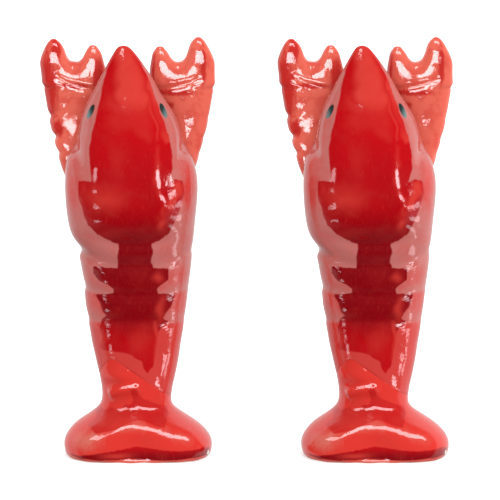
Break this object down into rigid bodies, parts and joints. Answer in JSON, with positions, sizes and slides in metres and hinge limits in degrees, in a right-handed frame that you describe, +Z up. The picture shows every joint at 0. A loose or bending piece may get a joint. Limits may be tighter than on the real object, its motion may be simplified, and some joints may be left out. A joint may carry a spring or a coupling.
{
  "type": "pair of lobster-shaped salt and pepper shakers",
  "caption": "Pair of glazed ceramic shakers, each a lobster standing on its tail fan, with pour holes in the head and a soft stopper under the foot.",
  "frame": {"origin": "on the standing plane, midway between the two figures, under the middle of the set's box", "axes": "+Z up, the figures face -Y, +X runs from the salt shaker to the pepper shaker"},
  "size_m": [0.1086, 0.0289, 0.11],
  "materials": {
    "body_glaze": "gloss glaze over brushed deep red, thin and pink at the sides",
    "claw_glaze": "gloss glaze over light orange-red",
    "tail_glaze": "gloss glaze over red, with a bare white foot",
    "stopper_plastic": "soft milky plastic"
  },
  "bodies": {
    "salt_shaker": {"salt_body": "body_glaze", "salt_claw_left": "claw_glaze", "salt_claw_right": "claw_glaze", "salt_tail_fan": "tail_glaze"},
    "salt_plug": {"salt_stopper": "stopper_plastic"},
    "pepper_shaker": {"pepper_body": "body_glaze", "pepper_claw_left": "claw_glaze", "pepper_claw_right": "claw_glaze", "pepper_tail_fan": "tail_glaze"},
    "pepper_plug": {"pepper_stopper": "stopper_plastic"}
  },
  "joints": [
    {"name": "pepper_lift", "type": "slide", "parent": "salt_shaker", "child": "pepper_shaker", "axis": [0, 0, 1], "range_m": [0, 0.12]},
    {"name": "salt_stopper_pull", "type": "slide", "parent": "salt_shaker", "child": "salt_plug", "axis": [0, 0, -1], "range_m": [0, 0.014]},
    {"name": "pepper_stopper_pull", "type": "slide", "parent": "pepper_shaker", "child": "pepper_plug", "axis": [0, 0, -1], "range_m": [0, 0.014]}
  ]
}
